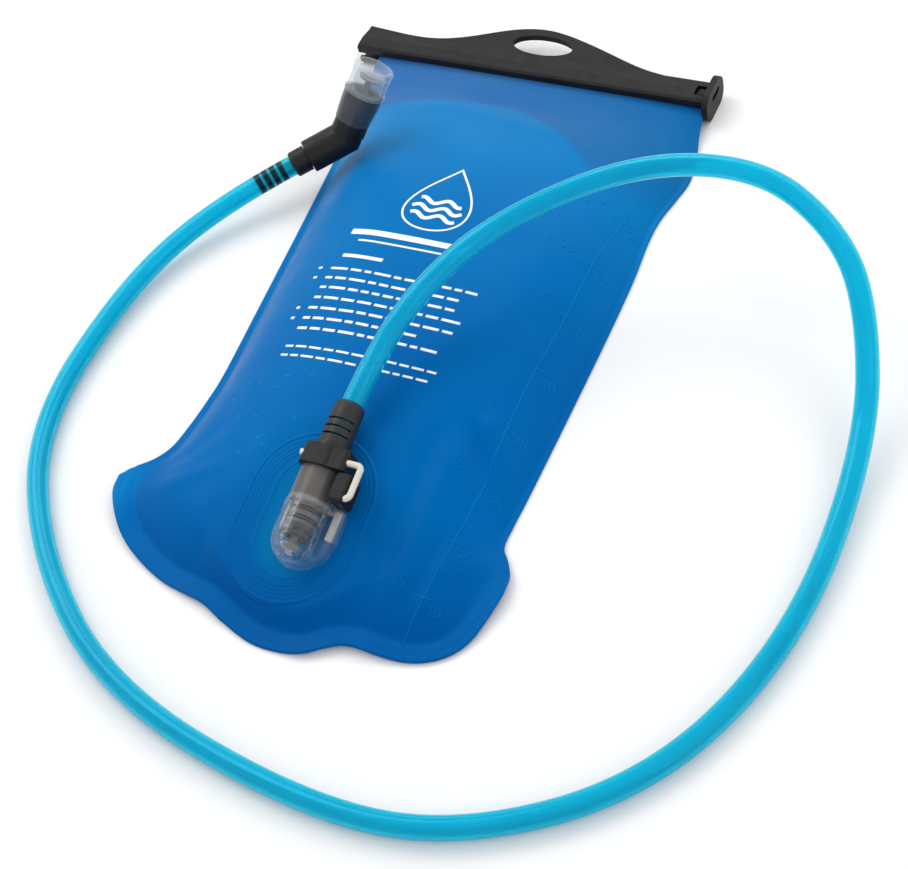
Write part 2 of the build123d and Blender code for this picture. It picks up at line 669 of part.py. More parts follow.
with BuildPart() as mouthpiece:
    skin = [
        (SHEATH_START, NECK_R + 0.05),
        (SHEATH_START, 8.2),
        (18.0, 9.0),
        (23.6, 9.2),
        (24.0, 9.7),
        (25.4, 9.7),
        (26.0, 9.1),
        (31.0, 8.9),
        (MOUTH_TOP - 0.8, 9.3),
        (MOUTH_TOP, 8.7),
        (MOUTH_TOP, 7.6),
        (MOUTH_TOP - 1.6, 6.8),
        (MOUTH_TOP - 3.2, 6.4),
        (MOUTH_TOP - 3.6, 0.0),
        (MOUTH_TOP - 5.2, 0.0),
        (MOUTH_TOP - 5.0, 7.0),
        (26.0, 7.0),
        (25.0, NECK_R + 0.8),
        (19.1, NECK_R + 0.55),
        (18.1, NECK_R + 0.95),
        (14.9, NECK_R + 0.85),
        (13.9, NECK_R + 0.35),
    ]
    add(turned(skin, MOUTH_PROFILE))
    # bite slit
    with BuildSketch(Plane(origin=ELBOW + MOUTH * (MOUTH_TOP + 1), x_dir=BARREL.cross(MOUTH), z_dir=MOUTH)):
        Rectangle(7.0, 0.5)
    extrude(amount=-7.0, mode=Mode.SUBTRACT)

# ---- write ---------------------------------------------------------------------------------------
save(front_panel, "front_panel")
save(back_film, "back_panel")
save(folded_mouth, "folded_mouth")
save(closure_channel, "closure_channel")
save(end_stop, "end_stop")
save(port_flange, "port_flange")
save(port_body, "port_body")
save(port_collar, "port_collar")
save(lock_fork, "lock_fork")
save(port_seat, "port_seat")
save(port_poppet, "port_poppet")
save(valve_spring, "valve_spring")
save(latch_clip, "latch_clip")
save(release_button, "release_button")
save(hose_plug, "hose_plug")
save(plug_oring_rear, "plug_oring_rear")
save(plug_oring_front, "plug_oring_front")
save(hose_relief, "hose_relief")
save(drink_hose, "drink_hose")
save(upper_barb, "upper_barb")
save(swivel_oring, "swivel_oring")
save(swivel_elbow, "swivel_elbow")
save(valve_stem, "valve_stem")
save(mouthpiece, "mouthpiece")

hose_length = hose_line.wire().length
hose_section = pi * (HOSE_R**2 - HOSE_BORE_R**2)
print("hose bend radii:", [round(radius) for radius in HOSE_RADII])
print("hose runs:", [round((Vector(*b) - Vector(*a)).length) for a, b in zip(HOSE_ROUTE, HOSE_ROUTE[1:])])
print(f"hose length {hose_length:.1f}, volume over section x length "
      f"{drink_hose.part.volume / (hose_section * hose_length):.4f}")
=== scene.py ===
import math
import random

import bpy
import numpy as np
from mathutils import Matrix, Vector
from mathutils.bvhtree import BVHTree


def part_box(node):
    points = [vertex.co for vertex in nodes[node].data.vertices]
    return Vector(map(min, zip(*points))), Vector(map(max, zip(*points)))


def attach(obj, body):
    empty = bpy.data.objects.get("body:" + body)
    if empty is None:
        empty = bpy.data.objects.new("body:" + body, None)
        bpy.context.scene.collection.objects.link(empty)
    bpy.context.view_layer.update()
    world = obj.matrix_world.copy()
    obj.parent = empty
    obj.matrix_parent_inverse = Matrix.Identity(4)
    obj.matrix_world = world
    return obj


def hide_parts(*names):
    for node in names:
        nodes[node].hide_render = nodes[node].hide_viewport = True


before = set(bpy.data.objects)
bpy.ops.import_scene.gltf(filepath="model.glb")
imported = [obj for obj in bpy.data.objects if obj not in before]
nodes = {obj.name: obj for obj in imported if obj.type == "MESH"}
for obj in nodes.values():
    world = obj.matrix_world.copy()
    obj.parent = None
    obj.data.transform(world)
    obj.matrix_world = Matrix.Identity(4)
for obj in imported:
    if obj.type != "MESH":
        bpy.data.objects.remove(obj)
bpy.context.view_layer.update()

# Hydration bladder lying on its back. Points are in the frame's axes: +X across the bag, +Y from the
# port to the closure, +Z up. Those of the bag's pieces are in millimetres and become metres where a
# mesh is made; those of the fittings, the hose's route and the camera are in metres.
MM = 0.001
rng = random.Random(7)

# ---- where the CAD says things are ---------------------------------------------------------------
PORT_TILT = math.radians(12)
PORT_AXIS = np.array([0.0, math.cos(PORT_TILT), math.sin(PORT_TILT)])
PORT_UP = np.array([0.0, -math.sin(PORT_TILT), math.cos(PORT_TILT)])
flange_low, flange_high = (np.array(corner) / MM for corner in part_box("port_flange"))
FLANGE_THICK = 1.6
FLANGE_R = (flange_high[0] - flange_low[0]) / 2
FLANGE_X = (flange_high[0] + flange_low[0]) / 2
FLANGE_Y = (flange_high[1] + flange_low[1]) / 2
FLANGE_HALF = (flange_high[1] - flange_low[1]) / 2 / math.cos(PORT_TILT) - FLANGE_R
FLANGE_MIDDLE_Z = (flange_low[2] + flange_high[2]) / 2
CLOSURE_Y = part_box("closure_channel")[0][1] / MM
CLOSURE_DEEP = 14.0
SLOT_Z = 5.8  # middle of the closure's slot
COLLAR = (0.013, -0.107, 0.027)  # where the port's axis leaves its clear body
RING = np.array([-0.1002, 0.0421, 0.014])  # first ridge of the upper barb
BARREL = np.array([0.6927, 0.7077, 0.1389])  # direction of the upper barb, out of the hose
MOUTH = (0.3704, 0.5106, 0.7759)  # direction of the mouthpiece
ELBOW_REACH = 0.0466  # from the first ridge to the elbow's corner
ELBOW = tuple(RING + BARREL * ELBOW_REACH)


# ---- small tools ---------------------------------------------------------------------------------
def curve_through(points, count):
    """A smooth curve through the points, as count points evenly spaced along it."""
    p = np.array(points, float)
    p = np.vstack([2 * p[0] - p[1], p, 2 * p[-1] - p[-2]])
    dense = []
    for k in range(1, len(p) - 2):
        for t in np.linspace(0, 1, 24, endpoint=False):
            a = 2 * p[k] + (p[k + 1] - p[k - 1]) * t
            b = (2 * p[k - 1] - 5 * p[k] + 4 * p[k + 1] - p[k + 2]) * t**2
            c = (3 * p[k] - p[k - 1] - 3 * p[k + 1] + p[k + 2]) * t**3
            dense.append((a + b + c) / 2)
    dense.append(p[-2])
    dense = np.array(dense)
    run = np.concatenate([[0], np.cumsum(np.linalg.norm(np.diff(dense, axis=0), axis=1))])
    places = np.linspace(0, run[-1], count)
    return np.stack([np.interp(places, run, dense[:, k]) for k in range(p.shape[1])], axis=1)


def profile(points):
    """A smooth function of one value through (value, result) points."""
    line = curve_through(points, 400)
    return lambda value: np.interp(value, line[:, 0], line[:, 1])


def smooth(value, low, high):
    t = np.clip((value - low) / (high - low), 0, 1)
    return t * t * (3 - 2 * t)


def distance_to(x, y, line):
    """Distance from points to a polyline, and how far along it (0 to 1) the nearest place is."""
    best = np.full(x.shape, 1e9)
    where = np.zeros(x.shape)
    for k in range(len(line) - 1):
        a, b = line[k], line[k + 1]
        d = b - a
        t = np.clip(((x - a[0]) * d[0] + (y - a[1]) * d[1]) / (d @ d), 0, 1)
        gap = np.hypot(x - a[0] - t * d[0], y - a[1] - t * d[1])
        nearer = gap < best
        best = np.where(nearer, gap, best)
        where = np.where(nearer, (k + t) / (len(line) - 1), where)
    return best, where


def waves(x, y, length, seed, count=9):
    """A sum of plane waves of about one wavelength in many directions: soft uneven undulation."""
    dice = random.Random(seed)
    total = np.zeros(np.shape(x))
    for _ in range(count):
        angle = dice.uniform(0, math.pi)
        turn = 2 * math.pi / (length * dice.uniform(0.7, 1.4))
        total += np.sin(turn * (x * math.cos(angle) + y * math.sin(angle)) + dice.uniform(0, 6.28))
    return total / count**0.5


def mesh_piece(name, points, faces, material, smooth_faces=True):
    """A mesh object from points in millimetres."""
    mesh = bpy.data.meshes.new(name)
    mesh.from_pydata((np.asarray(points, float) * MM).tolist(), [], faces)
    mesh.validate()
    mesh.materials.append(material)
    mesh.polygons.foreach_set("use_smooth", [smooth_faces] * len(mesh.polygons))
    piece = bpy.data.objects.new(name, mesh)
    bpy.context.scene.collection.objects.link(piece)
    return piece


def attribute(piece, name, values):
    layer = piece.data.attributes.new(name, "FLOAT", "POINT")
    layer.data.foreach_set("value", np.asarray(values, np.float32).ravel())


def grid_faces(rows, columns, start=0, flip=False, wrap=False):
    faces = []
    for j in range(rows - 1):
        for i in range(columns if wrap else columns - 1):
            k = (i + 1) % columns
            face = (start + j * columns + i, start + j * columns + k,
                    start + (j + 1) * columns + k, start + (j + 1) * columns + i)
            faces.append(face[::-1] if flip else face)
    return faces


# ---- materials -----------------------------------------------------------------------------------
class Shader:
    """A material's node tree, with short calls for the nodes that it uses."""

    def __init__(self, name):
        self.material = bpy.data.materials.new(name)
        self.material.use_nodes = True
        self.tree = self.material.node_tree
        self.body = self.tree.nodes["Principled BSDF"]
        self.output = self.tree.nodes["Material Output"]

    def add(self, kind, **settings):
        node = self.tree.nodes.new(kind)
        for key, value in settings.items():
            setattr(node, key, value)
        return node

    def link(self, source, target):
        self.tree.links.new(source, target)

    def set(self, **values):
        for key, value in values.items():
            self.body.inputs[key.replace("_", " ")].default_value = value

    def place(self):
        return self.add("ShaderNodeTexCoord").outputs["Object"]

    def noise(self, scale, detail, stretch=None):
        node = self.add("ShaderNodeTexNoise")
        node.inputs["Scale"].default_value = scale
        node.inputs["Detail"].default_value = detail
        node.inputs["Roughness"].default_value = 0.5
        place = self.place()
        if stretch:
            mapping = self.add("ShaderNodeMapping")
            mapping.inputs["Scale"].default_value = stretch
            self.link(place, mapping.inputs["Vector"])
            place = mapping.outputs["Vector"]
        self.link(place, node.inputs["Vector"])
        return node.outputs["Fac"]

    def ramp(self, source, stops):
        node = self.add("ShaderNodeValToRGB")
        while len(node.color_ramp.elements) < len(stops):
            node.color_ramp.elements.new(0.5)
        for element, (position, colour) in zip(node.color_ramp.elements, stops):
            element.position = position
            element.color = (*colour, 1)
        self.link(source, node.inputs["Fac"])
        return node.outputs["Color"]

    def between(self, source, start, end, low, high):
        """source from start to end, turned into low to high."""
        node = self.add("ShaderNodeMapRange")
        for key, value in (("From Min", start), ("From Max", end), ("To Min", low), ("To Max", high)):
            node.inputs[key].default_value = value
        self.link(source, node.inputs["Value"])
        return node.outputs["Result"]

    def spread(self, source, low, high):
        """A noise, about 0.3 to 0.7, turned into low to high."""
        return self.between(source, 0.3, 0.7, low, high)

    def blend(self, share, first, second, how="MIX"):
        node = self.add("ShaderNodeMix", data_type="RGBA", blend_type=how)
        factor, a, b = node.inputs[0], node.inputs[6], node.inputs[7]
        for socket, value in ((factor, share), (a, first), (b, second)):
            if isinstance(value, (tuple, list)):
                socket.default_value = (*value, 1)
            elif isinstance(value, float):
                socket.default_value = value
            else:
                self.link(value, socket)
        return node.outputs[2]

    def attribute(self, name):
        return self.add("ShaderNodeAttribute", attribute_name=name).outputs["Fac"]

    def bump(self, source, depth_mm):
        node = self.add("ShaderNodeBump")
        node.inputs["Strength"].default_value = 1.0
        node.inputs["Distance"].default_value = depth_mm * MM
        self.link(source, node.inputs["Height"])
        self.link(node.outputs["Normal"], self.body.inputs["Normal"])

    def reach(self, origin, direction):
        """How far a place is from the origin along a direction, in metres."""
        from_origin = self.add("ShaderNodeVectorMath", operation="SUBTRACT")
        self.link(self.place(), from_origin.inputs[0])
        from_origin.inputs[1].default_value = origin
        along = self.add("ShaderNodeVectorMath", operation="DOT_PRODUCT")
        self.link(from_origin.outputs["Vector"], along.inputs[0])
        along.inputs[1].default_value = direction
        return along.outputs["Value"]

    def combine(self, how, first, second):
        node = self.add("ShaderNodeMath", operation=how)
        for socket, value in zip(node.inputs, (first, second)):
            if isinstance(value, float):
                socket.default_value = value
            else:
                self.link(value, socket)
        return node.outputs["Value"]

    def bright_edges(self, colour, share, power):
        """A painted highlight on a clear piece's outline, where its wall is seen edge on and catches the
        light.
        """
        facing = self.add("ShaderNodeLayerWeight").outputs["Facing"]
        edge = self.combine("MULTIPLY", self.combine("POWER", facing, power), share)
        pale = self.add("ShaderNodeBsdfDiffuse")
        pale.inputs["Color"].default_value = (*colour, 1)
        mix = self.add("ShaderNodeMixShader")
        self.link(edge, mix.inputs["Fac"])
        self.link(self.output.inputs["Surface"].links[0].from_socket, mix.inputs[1])
        self.link(pale.outputs["BSDF"], mix.inputs[2])
        self.link(mix.outputs["Shader"], self.output.inputs["Surface"])

    def see_through(self, share, colour):
        """Light passes with this colour, and share of it meets the surface's own shader."""
        clear = self.add("ShaderNodeBsdfTransparent")
        clear.inputs["Color"].default_value = (*colour, 1)
        mix = self.add("ShaderNodeMixShader")
        if isinstance(share, float):
            mix.inputs["Fac"].default_value = share
        else:
            self.link(share, mix.inputs["Fac"])
        self.link(clear.outputs["BSDF"], mix.inputs[1])
        self.link(self.body.outputs["BSDF"], mix.inputs[2])
        self.link(mix.outputs["Shader"], self.output.inputs["Surface"])


def film_material(name, flange=False):
    """Translucent blue film with painted light: lighter towards the closure and the left side, darker
    towards the bottom and the right.
    """
    shader = Shader(name)
    place = shader.add("ShaderNodeSeparateXYZ")
    shader.link(shader.place(), place.inputs["Vector"])
    # painted light: darker towards the bottom, lighter towards the closure, with a painted sheen (a touch
    # of red) near the closure
    along = shader.between(place.outputs["Y"], -0.170, 0.145, 0.0, 1.0)
    base = shader.ramp(along, [(0.00, (0.000, 0.078, 0.300)), (0.23, (0.000, 0.150, 0.450)),
                               (0.45, (0.000, 0.155, 0.455)), (0.66, (0.000, 0.185, 0.500)),
                               (0.82, (0.012, 0.235, 0.560)), (1.00, (0.025, 0.215, 0.500))])
    if not flange:
        # the doubled film under the closure, its own darker blue with painted sheen streaks across it
        sheen_streaks = shader.noise(24.0, 3.0, stretch=(0.35, 1.6, 1.0))
        doubled_film_and_sheen = shader.blend(shader.spread(sheen_streaks, 0.0, 0.8),
                                      (0.058, 0.175, 0.420), (0.022, 0.150, 0.420))
        base = shader.blend(shader.attribute("fold"), base, doubled_film_and_sheen)
    # painted shade: the film darker towards the right side, multiplied over its colour
    across = shader.between(place.outputs["X"], -0.080, 0.085, 0.0, 1.0)
    painted_shade = shader.ramp(across, [(0.0, (1.0, 1.0, 1.0)), (0.35, (0.75, 0.90, 0.93)),
                                 (1.0, (0.12, 0.82, 0.88))])
    base = shader.blend(1.0, base, painted_shade, "MULTIPLY")
    cloud = shader.noise(16.0, 2.0)
    base = shader.blend(shader.spread(cloud, 0.0, 0.22), base, (0.000, 0.080, 0.330))
    if flange:
        base = shader.blend(0.20, base, (0.000, 0.110, 0.350))
        # painted light: the patch lighter round the port's clear body
        base = shader.blend(shader.attribute("inner"), base, (0.000, 0.165, 0.395))
    else:
        # painted light: lighter film at the bottom weld and the left ear, and painted highlights on the
        # scale and the crescent marks
        base = shader.blend(shader.attribute("rim"), base, (0.004, 0.225, 0.570))
    shader.link(base, shader.body.inputs["Base Color"])
    shader.link(shader.spread(shader.noise(60.0, 3.0), 0.34, 0.46), shader.body.inputs["Roughness"])
    shader.bump(shader.noise(900.0, 2.0), 0.012)
    shader.set(Specular_IOR_Level=0.11, Specular_Tint=(0.02, 0.50, 0.90, 1))
    return shader.material


def plastic_material(name, colour, roughness, grain=0.01, lift=0.35, gloss=0.5):
    """Moulded plastic: a fine grain, and patches that are a little lighter from handling."""
    shader = Shader(name)
    lighter = tuple(min(1.0, c * (1 + lift) + 0.002) for c in colour)
    base = shader.blend(shader.spread(shader.noise(90.0, 4.0), 0.0, 1.0), colour, lighter)
    shader.link(base, shader.body.inputs["Base Color"])
    shader.link(shader.spread(shader.noise(220.0, 3.0), roughness - 0.05, roughness + 0.08),
                shader.body.inputs["Roughness"])
    shader.bump(shader.noise(2600.0, 2.0), grain)
    shader.set(Specular_IOR_Level=gloss)
    return shader.material


FILM = film_material("bag_film")
FLANGE_FILM = film_material("weld_patch", flange=True)
CLOSURE_BLACK = plastic_material("closure_black", (0.0095, 0.0094, 0.0098), 0.5, 0.015, gloss=0.22)
MOULDED_BLACK = plastic_material("moulded_black", (0.0060, 0.0060, 0.0063), 0.42, 0.008, gloss=0.26)
RELIEF_BLACK = plastic_material("relief_rubber", (0.013, 0.013, 0.014), 0.42, 0.012, gloss=0.4)
SEAL_BLACK = plastic_material("seal_rubber", (0.012, 0.012, 0.013), 0.3, 0.004)
NATURAL = plastic_material("natural_pom", (0.62, 0.58, 0.50), 0.4, 0.006, 0.12)
VALVE_GREY = plastic_material("valve_grey", (0.16, 0.15, 0.135), 0.35, 0.006)
STEM_GREY = plastic_material("stem_grey", (0.075, 0.090, 0.105), 0.35, 0.006)
STEEL = plastic_material("spring_steel", (0.55, 0.56, 0.58), 0.25, 0.003, 0.1)
STEEL.node_tree.nodes["Principled BSDF"].inputs["Metallic"].default_value = 1.0


def hose_material():
    """Cloudy tube with a cyan tint; the black ridges of the barb show where they press against it."""
    shader = Shader("hose_tube")
    clouds = shader.spread(shader.noise(45.0, 2.0), 0.0, 1.0)
    base = shader.blend(clouds, (0.000, 0.68, 0.91), (0.000, 0.72, 0.94))
    ridge = shader.attribute("ridge")
    shader.link(shader.blend(ridge, base, (0.004, 0.012, 0.016)), shader.body.inputs["Base Color"])
    shader.link(shader.between(ridge, 0.0, 1.0, 0.72, 0.0), shader.body.inputs["Transmission Weight"])
    shader.set(Roughness=0.10, IOR=1.45, Specular_IOR_Level=0.30, Specular_Tint=(0.1, 0.7, 1.0, 1),
               Coat_Weight=0.12, Coat_Roughness=0.06)
    shader.bump(shader.noise(500.0, 2.0), 0.006)
    return shader.material


def clear_material():
    """Clear moulding with bright edges; the upper side of its bore is frosted next to the collar."""
    shader = Shader("clear_plastic")
    clouds = shader.spread(shader.noise(120.0, 2.0), 0.0, 1.0)
    tint = shader.blend(clouds, (0.90, 0.94, 0.96), (0.96, 0.98, 0.99))
    frost = shader.between(shader.reach(COLLAR, PORT_AXIS), -0.0155, -0.0125, 0.0, 1.0)
    high = shader.between(shader.reach(COLLAR, PORT_UP), -0.0055, -0.0035, 0.0, 1.0)
    frost = shader.combine("MULTIPLY", frost, high)
    shader.link(shader.blend(frost, tint, (0.115, 0.108, 0.102)), shader.body.inputs["Base Color"])
    shader.link(shader.between(frost, 0.0, 1.0, 0.94, 0.0), shader.body.inputs["Transmission Weight"])
    shader.link(shader.between(frost, 0.0, 1.0, 0.05, 0.3), shader.body.inputs["Roughness"])
    shader.set(IOR=1.46)
    shader.see_through(shader.between(frost, 0.0, 1.0, 0.30, 0.86), (0.97, 0.98, 0.99))
    shader.bright_edges((0.80, 0.90, 0.95), shader.between(high, 0.0, 1.0, 0.12, 0.50), 7.0)
    return shader.material


def plug_material():
    """Black moulding whose nose is grey."""
    shader = Shader("plug")
    nose = shader.between(shader.reach(COLLAR, PORT_AXIS), -0.003, -0.002, 1.0, 0.0)
    patches = shader.spread(shader.noise(90.0, 4.0), 0.0, 1.0)
    black = shader.blend(patches, (0.010, 0.010, 0.0105), (0.016, 0.016, 0.0165))
    grey = shader.blend(patches, (0.090, 0.085, 0.080), (0.130, 0.122, 0.115))
    shader.link(shader.blend(nose, black, grey), shader.body.inputs["Base Color"])
    shader.link(shader.spread(shader.noise(220.0, 3.0), 0.34, 0.46), shader.body.inputs["Roughness"])
    shader.bump(shader.noise(2600.0, 2.0), 0.008)
    shader.set(Specular_IOR_Level=0.4)
    return shader.material


def silicone_material():
    """Milky silicone: pale over the mouth, dark where it is stretched over the elbow's neck."""
    shader = Shader("silicone")
    milk = shader.blend(shader.spread(shader.noise(160.0, 4.0), 0.0, 1.0),
                        (0.56, 0.60, 0.63), (0.78, 0.80, 0.81))
    dark = shader.blend(shader.spread(shader.noise(240.0, 4.0), 0.0, 1.0),
                        (0.036, 0.046, 0.060), (0.056, 0.068, 0.084))
    thick = shader.between(shader.reach(ELBOW, MOUTH), 0.0234, 0.0246, 0.0, 1.0)
    shader.link(shader.blend(thick, dark, milk), shader.body.inputs["Base Color"])
    shader.set(Roughness=0.26, Specular_IOR_Level=0.5)
    shader.bump(shader.noise(700.0, 3.0), 0.01)
    shader.see_through(shader.between(thick, 0.0, 1.0, 0.82, 0.17), (0.92, 0.94, 0.95))
    shader.bright_edges((0.82, 0.86, 0.89), shader.between(thick, 0.0, 1.0, 0.10, 0.62), 4.5)
    return shader.material


def ink_material():
    shader = Shader("print_ink")
    white = shader.ramp(shader.noise(1500.0, 3.0), [(0.30, (0.70, 0.80, 0.90)), (0.42, (0.92, 0.94, 0.96))])
    shader.link(white, shader.body.inputs["Base Color"])
    shader.set(Roughness=0.45)
    return shader.material


HOSE = hose_material()
CLEAR = clear_material()
PLUG = plug_material()
SILICONE = silicone_material()
INK = ink_material()

# ---- camera: the photograph's viewing angle ------------------------------------------------------
TARGET = Vector((0.0435, -0.057, 0.0))
DISTANCE = 0.79032
ELEVATION = math.radians(50.96)
AZIMUTH = math.radians(37.49)
ROLL = math.radians(-17.0)
LENS_MM = 75.343


def add_camera():
    away = Vector((math.cos(ELEVATION) * math.sin(AZIMUTH), -math.cos(ELEVATION) * math.cos(AZIMUTH),
                   math.sin(ELEVATION)))
    level = Vector((math.cos(AZIMUTH), math.sin(AZIMUTH), 0))
    upright = away.cross(level)
    right = level * math.cos(ROLL) + upright * math.sin(ROLL)
    up = -level * math.sin(ROLL) + upright * math.cos(ROLL)
    data = bpy.data.cameras.new("camera")
    data.lens = LENS_MM
    data.sensor_width = 36.0
    data.clip_start = 0.01
    camera = bpy.data.objects.new("camera", data)
    turn = Matrix((right, up, away)).transposed().to_4x4()
    camera.matrix_world = Matrix.Translation(TARGET + away * DISTANCE) @ turn
    bpy.context.scene.collection.objects.link(camera)
    bpy.context.scene.camera = camera


add_camera()

# ---- drink hose ----------------------------------------------------------------------------------
HOSE_R = 4.75
HOSE_BORE_R = 3.2
HOSE_SIDES = 48
# where the upper barb's ridges press against the hose, from the hose's end
BARB_BANDS = [(3.9, 6.9), (7.9, 10.9), (11.9, 14.9), (15.9, 18.9)]
BARB_RUN = 0.024  # the hose's end, in metres, which gets short steps for those ridges
BARB_STEPS = 8
ROUTE_STEPS = 26
# from the port's plug up over the bag, down to the floor, round the bag and up to the barb
HOSE_START = (0.0130, -0.09487, 0.02958)
HOSE_ROUTE = [
    HOSE_START,
    (0.0130, -0.06161, 0.03665),
    (0.024, -0.027, 0.052),
    (0.045, 0.010, 0.060),
    (0.090, 0.053, 0.062),
    (0.139, 0.066, 0.058),
    (0.175, 0.049, 0.049),
    (0.195, 0.024, 0.038),
    (0.208, -0.019, 0.0085),
    (0.209, -0.109, 0.0048),
    (0.180, -0.183, 0.0048),
    (0.119, -0.226, 0.0048),
    (0.057, -0.232, 0.0048),
    (-0.036, -0.213, 0.0048),
    (-0.097, -0.167, 0.0048),
    (-0.137, -0.107, 0.0048),
    (-0.136, -0.024, 0.0065),
    (-0.11475, 0.02724, 0.01108),
    (-0.08704, 0.05555, 0.01664),
]


def hose_centreline():
    data = bpy.data.curves.new("hose_route", "CURVE")
    data.dimensions = "3D"
    data.resolution_u = ROUTE_STEPS
    spline = data.splines.new("NURBS")
    spline.points.add(len(HOSE_ROUTE) - 1)
    for point, place in zip(spline.points, HOSE_ROUTE):
        point.co = (*place, 1)
    spline.order_u = 3
    spline.use_endpoint_u = True
    route = bpy.data.objects.new("hose_route", data)
    bpy.context.scene.collection.objects.link(route)
    mesh = bpy.data.meshes.new_from_object(route)
    points = np.array([vertex.co for vertex in mesh.vertices])
    bpy.data.meshes.remove(mesh)
    bpy.data.objects.remove(route)
    run = np.linalg.norm(np.diff(points, axis=0), axis=1)[::-1].cumsum()
    keep = int((run < BARB_RUN).sum()) + 1
    tail = points[-keep:]
    places = np.linspace(0, keep - 1, BARB_STEPS * (keep - 1) + 1)
    fine = np.stack([np.interp(places, range(keep), tail[:, k]) for k in range(3)], axis=1)
    return np.vstack([points[:-keep], fine])


def tube_along(points, rings):
    """Points and faces of a closed tube wall; rings are (outer, inner) radii in metres."""
    tangent = np.gradient(points, axis=0)
    tangent /= np.linalg.norm(tangent, axis=1)[:, None]
    side = np.cross(tangent[0], [0, 0, 1.0])
    side /= np.linalg.norm(side)
    turn = np.linspace(0, 2 * math.pi, HOSE_SIDES, endpoint=False)
    found = [[] for _ in rings]
    for place, direction in zip(points, tangent):
        side = side - direction * (side @ direction)
        side /= np.linalg.norm(side)
        other = np.cross(direction, side)
        circle = np.outer(np.cos(turn), side) + np.outer(np.sin(turn), other)
        for ring, radius in zip(found, rings):
            ring.append(place + circle * radius)
    count = len(points)
    faces = grid_faces(count, HOSE_SIDES, wrap=True)
    faces += grid_faces(count, HOSE_SIDES, start=count * HOSE_SIDES, wrap=True, flip=True)
    inner = count * HOSE_SIDES
    last = (count - 1) * HOSE_SIDES
    for k in range(HOSE_SIDES):
        n = (k + 1) % HOSE_SIDES
        faces.append((k, inner + k, inner + n, n))
        faces.append((last + k, last + n, inner + last + n, inner + last + k))
    return np.vstack([np.vstack(ring) for ring in found]), faces


def make_hose():
    centre = hose_centreline()
    points, faces = tube_along(centre, (HOSE_R * MM, HOSE_BORE_R * MM))
    hose = mesh_piece("drink_tube", points / MM, faces, HOSE)
    steps = np.linalg.norm(np.diff(centre, axis=0), axis=1)
    from_end = (steps.sum() - np.concatenate([[0], np.cumsum(steps)])) / MM
    ridge = sum(smooth(from_end, low - 0.25, low + 0.25) * smooth(-from_end, -high - 0.25, -high + 0.25)
                for low, high in BARB_BANDS)
    attribute(hose, "ridge", np.tile(np.repeat(ridge, HOSE_SIDES), 2))
    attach(hose, "plug")
    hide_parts("drink_hose")


make_hose()

# ---- bag: outline, heights -----------------------------------------------------------------------
LEFT_EDGE = [
    (-85.0, -120.5), (-81.2, -113.6), (-76.0, -106.6), (-72.2, -98.0), (-70.6, -86.0), (-69.6, -72.0),
    (-69.4, -55.0), (-72.4, -14.0), (-76.2, 36.0), (-79.2, 72.0), (-82.5, 105.0), (-85.0, 128.0),
    (-86.0, 144.4)]
BOTTOM_EDGE = [
    (-85.0, -120.5), (-83.4, -128.5), (-76.4, -139.0), (-68.2, -147.0), (-56.7, -154.0),
    (-43.0, -159.8), (-31.0, -162.6), (-20.0, -164.8), (-9.4, -169.2), (5.3, -174.1), (17.0, -175.0),
    (29.5, -173.3), (38.0, -168.6), (46.0, -165.0), (60.0, -164.8), (71.0, -163.6), (80.0, -160.2),
    (87.0, -154.6), (91.6, -147.0), (94.4, -136.4), (96.4, -125.6)]
RIGHT_EDGE = [
    (96.4, -125.6), (95.2, -117.0), (91.2, -109.8), (86.6, -103.2), (86.2, -92.0), (86.5, -78.0),
    (86.8, -40.0), (86.8, 5.0), (86.2, 40.0), (84.6, 64.0), (85.0, 78.0), (87.4, 90.0),
    (89.6, 102.0), (88.8, 113.0), (86.6, 123.0), (84.6, 132.0), (83.0, 144.4)]
EDGE_STEPS = 160
left_line = curve_through(LEFT_EDGE, EDGE_STEPS)
bottom_line = curve_through(BOTTOM_EDGE, EDGE_STEPS)
right_line = curve_through(RIGHT_EDGE, EDGE_STEPS)

BOTTOM_WELD = 9.0
SIDE_WELD = 2.6
FILM_THICK = 0.5
SIDE_RISE = 76.0  # how far in from the side weld the film still rises
CALM = 15.0  # how far round the flange the film lies flat with it
RAMP_AT_PORT, RAMP_MORE = 9.0, 15.0  # length of the rise behind the bottom weld
SEAL_LINES = [(3.0, 0.22), (7.6, 0.30)]  # distance from the bottom edge, depth
SEAL_WIDE = 0.7

# height of the front film's middle along the bag
crest = profile([(-176, 5.0), (-165, 7.0), (-155, 8.6), (-142, 10.4), (-127, 13.0), (-110, 16.6),
                 (-92, 20.4), (-60, 25.0), (-20, 27.0), (30, 25.0), (70, 20.5), (105, 15.0), (128, 9.8),
                 (136, 8.0), (145, 6.9)])

# soft folds in the front film: line, width, depth (a ridge where it is negative)
FOLDS = [
    # where the right side tucks in above its ear
    ([(52, -58), (64, -72), (73, -86), (80, -97), (90, -106)], 4.0, 3.0),
    ([(60, -52), (74, -70), (82, -84)], 6.0, -1.8),
    # between the port and the right edge
    ([(46, -62), (47, -100), (44, -150)], 4.5, 1.3),
    ([(57, -60), (58, -100), (54, -152)], 5.0, -1.0),
    ([(66, -104), (65, -130), (62, -152)], 3.5, 0.9),
    # pulls that run up from the left ear and the bottom
    ([(-78, -118), (-58, -104), (-44, -84)], 4.0, 1.0),
    ([(-70, -128), (-50, -116), (-34, -104)], 4.0, -0.9),
    ([(-36, -158), (-28, -140), (-26, -120)], 5.0, 1.1),
    # beside the closure
    ([(-60, 126), (-10, 122), (50, 118)], 3.5, 0.5),
    ([(-70, 108), (-30, 112), (30, 104), (70, 84)], 5.0, -0.6),
    ([(62, 132), (72, 112), (80, 92)], 4.0, 0.9),
]


def underside(y):
    """Height of the bag's underside, which lifts off the floor towards the closure."""
    return 5.0 * smooth(y, 112, 143) ** 1.3


